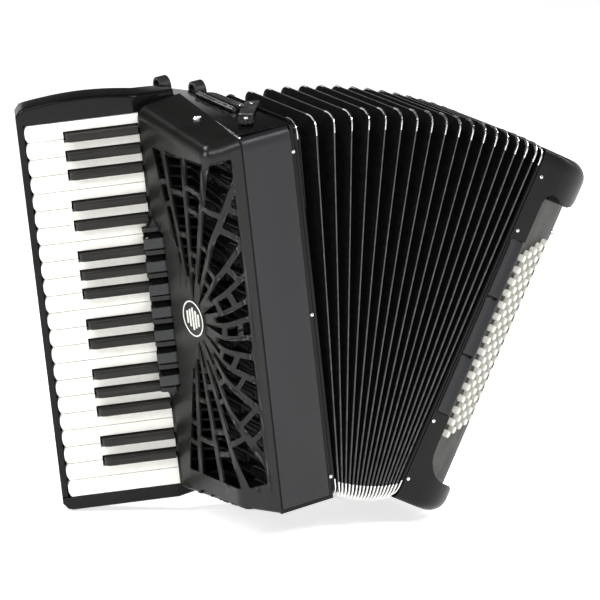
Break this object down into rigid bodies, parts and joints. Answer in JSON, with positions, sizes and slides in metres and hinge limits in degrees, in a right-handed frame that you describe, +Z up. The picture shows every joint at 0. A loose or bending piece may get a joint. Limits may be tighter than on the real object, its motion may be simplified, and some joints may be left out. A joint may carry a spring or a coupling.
{
  "type": "piano accordion",
  "caption": "Piano accordion standing fanned open: hinged piano keys and register tabs on the treble side, pleated bellows, slanted bass button board and hand strap.",
  "frame": {"origin": "on the floor under the middle of the instrument's bounding box, as it stands fanned open on the outer corner of the keyboard and the outer edge of the bass case", "axes": "+X from the keyboard towards the bass side, +Y from the grille to the player's side, +Z up"},
  "size_m": [0.6174, 0.2158, 0.4768],
  "materials": {
    "gloss": "high gloss celluloid over wood",
    "charcoal": "fine satin",
    "ivory": "polished",
    "ebony": "satin",
    "cloth": "cloth-covered card",
    "wood": "bare spruce",
    "board": "satin",
    "leather": "smooth",
    "nickel": "polished nickel"
  },
  "bodies": {
    "treble": {"treble_case": "gloss", "treble_grille": "charcoal", "fingerboard": "gloss", "treble_reed_block": "wood", "strap_mount": "nickel", "bellows_strap": "leather", "bellows": "cloth"},
    "bass": {"bass_case": "gloss", "bass_button_board": "board", "bass_reed_block": "wood", "hand_strap": "leather"},
    "treble_register_1": {"treble_register_1": "gloss"},
    "treble_register_2": {"treble_register_2": "gloss"},
    "treble_register_3": {"treble_register_3": "gloss"},
    "treble_register_4": {"treble_register_4": "gloss"},
    "treble_register_5": {"treble_register_5": "gloss"},
    "treble_register_6": {"treble_register_6": "gloss"},
    "treble_register_7": {"treble_register_7": "gloss"},
    "bass_register_1": {"bass_register_1": "gloss"},
    "bass_register_2": {"bass_register_2": "gloss"},
    "bass_register_3": {"bass_register_3": "gloss"},
    "bass_buttons": {"bass_buttons": "ivory"},
    "air_button": {"air_button": "nickel"},
    "white_key_01": {"white_key_01": "ivory"},
    "white_key_02": {"white_key_02": "ivory"},
    "white_key_03": {"white_key_03": "ivory"},
    "white_key_04": {"white_key_04": "ivory"},
    "white_key_05": {"white_key_05": "ivory"},
    "white_key_06": {"white_key_06": "ivory"},
    "white_key_07": {"white_key_07": "ivory"},
    "white_key_08": {"white_key_08": "ivory"},
    "white_key_09": {"white_key_09": "ivory"},
    "white_key_10": {"white_key_10": "ivory"},
    "white_key_11": {"white_key_11": "ivory"},
    "white_key_12": {"white_key_12": "ivory"},
    "white_key_13": {"white_key_13": "ivory"},
    "white_key_14": {"white_key_14": "ivory"},
    "white_key_15": {"white_key_15": "ivory"},
    "white_key_16": {"white_key_16": "ivory"},
    "white_key_17": {"white_key_17": "ivory"},
    "white_key_18": {"white_key_18": "ivory"},
    "white_key_19": {"white_key_19": "ivory"},
    "white_key_20": {"white_key_20": "ivory"},
    "white_key_21": {"white_key_21": "ivory"},
    "white_key_22": {"white_key_22": "ivory"},
    "black_key_01": {"black_key_01": "ebony"},
    "black_key_02": {"black_key_02": "ebony"},
    "black_key_03": {"black_key_03": "ebony"},
    "black_key_04": {"black_key_04": "ebony"},
    "black_key_05": {"black_key_05": "ebony"},
    "black_key_06": {"black_key_06": "ebony"},
    "black_key_07": {"black_key_07": "ebony"},
    "black_key_08": {"black_key_08": "ebony"},
    "black_key_09": {"black_key_09": "ebony"},
    "black_key_10": {"black_key_10": "ebony"},
    "black_key_11": {"black_key_11": "ebony"},
    "black_key_12": {"black_key_12": "ebony"},
    "black_key_13": {"black_key_13": "ebony"},
    "black_key_14": {"black_key_14": "ebony"},
    "black_key_15": {"black_key_15": "ebony"}
  },
  "joints": [
    {"name": "bellows_fan", "type": "hinge", "parent": "treble", "child": "bass", "pos_m": [0.03495, -0.02343, 0.03779], "axis": [0, 1, 0], "range_deg": [-33.6, 6], "deforming": ["bellows"]},
    {"name": "press_treble_register_1", "type": "hinge", "parent": "treble", "child": "treble_register_1", "pos_m": [-0.1639, 0.00694, 0.31305], "axis": [0.1719, 0, -0.9851], "range_deg": [0, 6], "stiffness_Nm_per_rad": 0.1, "springref_deg": -17.19},
    {"name": "press_treble_register_2", "type": "hinge", "parent": "treble", "child": "treble_register_2", "pos_m": [-0.15948, 0.00694, 0.28773], "axis": [0.1719, 0, -0.9851], "range_deg": [0, 6], "stiffness_Nm_per_rad": 0.1, "springref_deg": -17.19},
    {"name": "press_treble_register_3", "type": "hinge", "parent": "treble", "child": "treble_register_3", "pos_m": [-0.15506, 0.00694, 0.26242], "axis": [0.1719, 0, -0.9851], "range_deg": [0, 6], "stiffness_Nm_per_rad": 0.1, "springref_deg": -17.19},
    {"name": "press_treble_register_4", "type": "hinge", "parent": "treble", "child": "treble_register_4", "pos_m": [-0.15064, 0.00694, 0.2371], "axis": [0.1719, 0, -0.9851], "range_deg": [0, 6], "stiffness_Nm_per_rad": 0.1, "springref_deg": -17.19},
    {"name": "press_treble_register_5", "type": "hinge", "parent": "treble", "child": "treble_register_5", "pos_m": [-0.14622, 0.00694, 0.21178], "axis": [0.1719, 0, -0.9851], "range_deg": [0, 6], "stiffness_Nm_per_rad": 0.1, "springref_deg": -17.19},
    {"name": "press_treble_register_6", "type": "hinge", "parent": "treble", "child": "treble_register_6", "pos_m": [-0.1418, 0.00694, 0.18646], "axis": [0.1719, 0, -0.9851], "range_deg": [0, 6], "stiffness_Nm_per_rad": 0.1, "springref_deg": -17.19},
    {"name": "press_treble_register_7", "type": "hinge", "parent": "treble", "child": "treble_register_7", "pos_m": [-0.13739, 0.00694, 0.16115], "axis": [0.1719, 0, -0.9851], "range_deg": [0, 6], "stiffness_Nm_per_rad": 0.1, "springref_deg": -17.19},
    {"name": "press_bass_register_1", "type": "hinge", "parent": "bass", "child": "bass_register_1", "pos_m": [0.18751, -0.10143, 0.2846], "axis": [0.4019, 0, 0.9157], "range_deg": [0, 5], "stiffness_Nm_per_rad": 0.1, "springref_deg": -17.19},
    {"name": "press_bass_register_2", "type": "hinge", "parent": "bass", "child": "bass_register_2", "pos_m": [0.16009, -0.10143, 0.22215], "axis": [0.4019, 0, 0.9157], "range_deg": [0, 5], "stiffness_Nm_per_rad": 0.1, "springref_deg": -17.19},
    {"name": "press_bass_register_3", "type": "hinge", "parent": "bass", "child": "bass_register_3", "pos_m": [0.13268, -0.10143, 0.1597], "axis": [0.4019, 0, 0.9157], "range_deg": [0, 5], "stiffness_Nm_per_rad": 0.1, "springref_deg": -17.19},
    {"name": "press_bass_buttons", "type": "slide", "parent": "bass", "child": "bass_buttons", "axis": [-0.5637, 0.788, 0.2475], "range_m": [0, 0.0035], "stiffness_N_per_m": 400, "springref_m": -0.01},
    {"name": "press_air_button", "type": "slide", "parent": "bass", "child": "air_button", "axis": [-0.9157, 0, 0.4019], "range_m": [0, 0.005], "stiffness_N_per_m": 200, "springref_m": -0.005},
    {"name": "press_white_key_01", "type": "hinge", "parent": "treble", "child": "white_key_01", "pos_m": [-0.17785, 0.03501, 0.43383], "axis": [0.1719, 0, -0.9851], "range_deg": [0, 2.2], "stiffness_Nm_per_rad": 0.3, "springref_deg": -8.59},
    {"name": "press_white_key_02", "type": "hinge", "parent": "treble", "child": "white_key_02", "pos_m": [-0.17444, 0.03501, 0.41428], "axis": [0.1719, 0, -0.9851], "range_deg": [0, 2.2], "stiffness_Nm_per_rad": 0.3, "springref_deg": -8.59},
    {"name": "press_white_key_03", "type": "hinge", "parent": "treble", "child": "white_key_03", "pos_m": [-0.1711, 0.03501, 0.39515], "axis": [0.1719, 0, -0.9851], "range_deg": [0, 2.2], "stiffness_Nm_per_rad": 0.3, "springref_deg": -8.59},
    {"name": "press_white_key_04", "type": "hinge", "parent": "treble", "child": "white_key_04", "pos_m": [-0.16768, 0.03501, 0.3756], "axis": [0.1719, 0, -0.9851], "range_deg": [0, 2.2], "stiffness_Nm_per_rad": 0.3, "springref_deg": -8.59},
    {"name": "press_white_key_05", "type": "hinge", "parent": "treble", "child": "white_key_05", "pos_m": [-0.16512, 0.03501, 0.36091], "axis": [0.1719, 0, -0.9851], "range_deg": [0, 2.2], "stiffness_Nm_per_rad": 0.3, "springref_deg": -8.59},
    {"name": "press_white_key_06", "type": "hinge", "parent": "treble", "child": "white_key_06", "pos_m": [-0.16165, 0.03501, 0.34101], "axis": [0.1719, 0, -0.9851], "range_deg": [0, 2.2], "stiffness_Nm_per_rad": 0.3, "springref_deg": -8.59},
    {"name": "press_white_key_07", "type": "hinge", "parent": "treble", "child": "white_key_07", "pos_m": [-0.15817, 0.03501, 0.32111], "axis": [0.1719, 0, -0.9851], "range_deg": [0, 2.2], "stiffness_Nm_per_rad": 0.3, "springref_deg": -8.59},
    {"name": "press_white_key_08", "type": "hinge", "parent": "treble", "child": "white_key_08", "pos_m": [-0.15561, 0.03501, 0.30642], "axis": [0.1719, 0, -0.9851], "range_deg": [0, 2.2], "stiffness_Nm_per_rad": 0.3, "springref_deg": -8.59},
    {"name": "press_white_key_09", "type": "hinge", "parent": "treble", "child": "white_key_09", "pos_m": [-0.1522, 0.03501, 0.28687], "axis": [0.1719, 0, -0.9851], "range_deg": [0, 2.2], "stiffness_Nm_per_rad": 0.3, "springref_deg": -8.59},
    {"name": "press_white_key_10", "type": "hinge", "parent": "treble", "child": "white_key_10", "pos_m": [-0.14886, 0.03501, 0.26773], "axis": [0.1719, 0, -0.9851], "range_deg": [0, 2.2], "stiffness_Nm_per_rad": 0.3, "springref_deg": -8.59},
    {"name": "press_white_key_11", "type": "hinge", "parent": "treble", "child": "white_key_11", "pos_m": [-0.14544, 0.03501, 0.24818], "axis": [0.1719, 0, -0.9851], "range_deg": [0, 2.2], "stiffness_Nm_per_rad": 0.3, "springref_deg": -8.59},
    {"name": "press_white_key_12", "type": "hinge", "parent": "treble", "child": "white_key_12", "pos_m": [-0.14288, 0.03501, 0.23349], "axis": [0.1719, 0, -0.9851], "range_deg": [0, 2.2], "stiffness_Nm_per_rad": 0.3, "springref_deg": -8.59},
    {"name": "press_white_key_13", "type": "hinge", "parent": "treble", "child": "white_key_13", "pos_m": [-0.13941, 0.03501, 0.21359], "axis": [0.1719, 0, -0.9851], "range_deg": [0, 2.2], "stiffness_Nm_per_rad": 0.3, "springref_deg": -8.59},
    {"name": "press_white_key_14", "type": "hinge", "parent": "treble", "child": "white_key_14", "pos_m": [-0.13594, 0.03501, 0.19369], "axis": [0.1719, 0, -0.9851], "range_deg": [0, 2.2], "stiffness_Nm_per_rad": 0.3, "springref_deg": -8.59},
    {"name": "press_white_key_15", "type": "hinge", "parent": "treble", "child": "white_key_15", "pos_m": [-0.1332, 0.03501, 0.17802], "axis": [0.1719, 0, -0.9851], "range_deg": [0, 2.2], "stiffness_Nm_per_rad": 0.3, "springref_deg": -8.59},
    {"name": "press_white_key_16", "type": "hinge", "parent": "treble", "child": "white_key_16", "pos_m": [-0.12993, 0.03501, 0.1593], "axis": [0.1719, 0, -0.9851], "range_deg": [0, 2.2], "stiffness_Nm_per_rad": 0.3, "springref_deg": -8.59},
    {"name": "press_white_key_17", "type": "hinge", "parent": "treble", "child": "white_key_17", "pos_m": [-0.12662, 0.03501, 0.14032], "axis": [0.1719, 0, -0.9851], "range_deg": [0, 2.2], "stiffness_Nm_per_rad": 0.3, "springref_deg": -8.59},
    {"name": "press_white_key_18", "type": "hinge", "parent": "treble", "child": "white_key_18", "pos_m": [-0.12321, 0.03501, 0.12076], "axis": [0.1719, 0, -0.9851], "range_deg": [0, 2.2], "stiffness_Nm_per_rad": 0.3, "springref_deg": -8.59},
    {"name": "press_white_key_19", "type": "hinge", "parent": "treble", "child": "white_key_19", "pos_m": [-0.12013, 0.03501, 0.10315], "axis": [0.1719, 0, -0.9851], "range_deg": [0, 2.2], "stiffness_Nm_per_rad": 0.3, "springref_deg": -8.59},
    {"name": "press_white_key_20", "type": "hinge", "parent": "treble", "child": "white_key_20", "pos_m": [-0.11687, 0.03501, 0.08443], "axis": [0.1719, 0, -0.9851], "range_deg": [0, 2.2], "stiffness_Nm_per_rad": 0.3, "springref_deg": -8.59},
    {"name": "press_white_key_21", "type": "hinge", "parent": "treble", "child": "white_key_21", "pos_m": [-0.1136, 0.03501, 0.06571], "axis": [0.1719, 0, -0.9851], "range_deg": [0, 2.2], "stiffness_Nm_per_rad": 0.3, "springref_deg": -8.59},
    {"name": "press_white_key_22", "type": "hinge", "parent": "treble", "child": "white_key_22", "pos_m": [-0.11033, 0.03501, 0.047], "axis": [0.1719, 0, -0.9851], "range_deg": [0, 2.2], "stiffness_Nm_per_rad": 0.3, "springref_deg": -8.59},
    {"name": "press_black_key_01", "type": "hinge", "parent": "treble", "child": "black_key_01", "pos_m": [-0.17671, 0.03501, 0.4273], "axis": [0.1719, 0, -0.9851], "range_deg": [0, 2.2], "stiffness_Nm_per_rad": 0.3, "springref_deg": -8.59},
    {"name": "press_black_key_02", "type": "hinge", "parent": "treble", "child": "black_key_02", "pos_m": [-0.17315, 0.03501, 0.40694], "axis": [0.1719, 0, -0.9851], "range_deg": [0, 2.2], "stiffness_Nm_per_rad": 0.3, "springref_deg": -8.59},
    {"name": "press_black_key_03", "type": "hinge", "parent": "treble", "child": "black_key_03", "pos_m": [-0.1696, 0.03501, 0.38657], "axis": [0.1719, 0, -0.9851], "range_deg": [0, 2.2], "stiffness_Nm_per_rad": 0.3, "springref_deg": -8.59},
    {"name": "press_black_key_04", "type": "hinge", "parent": "treble", "child": "black_key_04", "pos_m": [-0.16376, 0.03501, 0.35311], "axis": [0.1719, 0, -0.9851], "range_deg": [0, 2.2], "stiffness_Nm_per_rad": 0.3, "springref_deg": -8.59},
    {"name": "press_black_key_05", "type": "hinge", "parent": "treble", "child": "black_key_05", "pos_m": [-0.16004, 0.03501, 0.33177], "axis": [0.1719, 0, -0.9851], "range_deg": [0, 2.2], "stiffness_Nm_per_rad": 0.3, "springref_deg": -8.59},
    {"name": "press_black_key_06", "type": "hinge", "parent": "treble", "child": "black_key_06", "pos_m": [-0.15419, 0.03501, 0.29831], "axis": [0.1719, 0, -0.9851], "range_deg": [0, 2.2], "stiffness_Nm_per_rad": 0.3, "springref_deg": -8.59},
    {"name": "press_black_key_07", "type": "hinge", "parent": "treble", "child": "black_key_07", "pos_m": [-0.15064, 0.03501, 0.27794], "axis": [0.1719, 0, -0.9851], "range_deg": [0, 2.2], "stiffness_Nm_per_rad": 0.3, "springref_deg": -8.59},
    {"name": "press_black_key_08", "type": "hinge", "parent": "treble", "child": "black_key_08", "pos_m": [-0.14709, 0.03501, 0.25758], "axis": [0.1719, 0, -0.9851], "range_deg": [0, 2.2], "stiffness_Nm_per_rad": 0.3, "springref_deg": -8.59},
    {"name": "press_black_key_09", "type": "hinge", "parent": "treble", "child": "black_key_09", "pos_m": [-0.14125, 0.03501, 0.22412], "axis": [0.1719, 0, -0.9851], "range_deg": [0, 2.2], "stiffness_Nm_per_rad": 0.3, "springref_deg": -8.59},
    {"name": "press_black_key_10", "type": "hinge", "parent": "treble", "child": "black_key_10", "pos_m": [-0.13752, 0.03501, 0.20278], "axis": [0.1719, 0, -0.9851], "range_deg": [0, 2.2], "stiffness_Nm_per_rad": 0.3, "springref_deg": -8.59},
    {"name": "press_black_key_11", "type": "hinge", "parent": "treble", "child": "black_key_11", "pos_m": [-0.13168, 0.03501, 0.16932], "axis": [0.1719, 0, -0.9851], "range_deg": [0, 2.2], "stiffness_Nm_per_rad": 0.3, "springref_deg": -8.59},
    {"name": "press_black_key_12", "type": "hinge", "parent": "treble", "child": "black_key_12", "pos_m": [-0.12813, 0.03501, 0.14895], "axis": [0.1719, 0, -0.9851], "range_deg": [0, 2.2], "stiffness_Nm_per_rad": 0.3, "springref_deg": -8.59},
    {"name": "press_black_key_13", "type": "hinge", "parent": "treble", "child": "black_key_13", "pos_m": [-0.12457, 0.03501, 0.12858], "axis": [0.1719, 0, -0.9851], "range_deg": [0, 2.2], "stiffness_Nm_per_rad": 0.3, "springref_deg": -8.59},
    {"name": "press_black_key_14", "type": "hinge", "parent": "treble", "child": "black_key_14", "pos_m": [-0.11873, 0.03501, 0.09512], "axis": [0.1719, 0, -0.9851], "range_deg": [0, 2.2], "stiffness_Nm_per_rad": 0.3, "springref_deg": -8.59},
    {"name": "press_black_key_15", "type": "hinge", "parent": "treble", "child": "black_key_15", "pos_m": [-0.11497, 0.03501, 0.07359], "axis": [0.1719, 0, -0.9851], "range_deg": [0, 2.2], "stiffness_Nm_per_rad": 0.3, "springref_deg": -8.59}
  ]
}
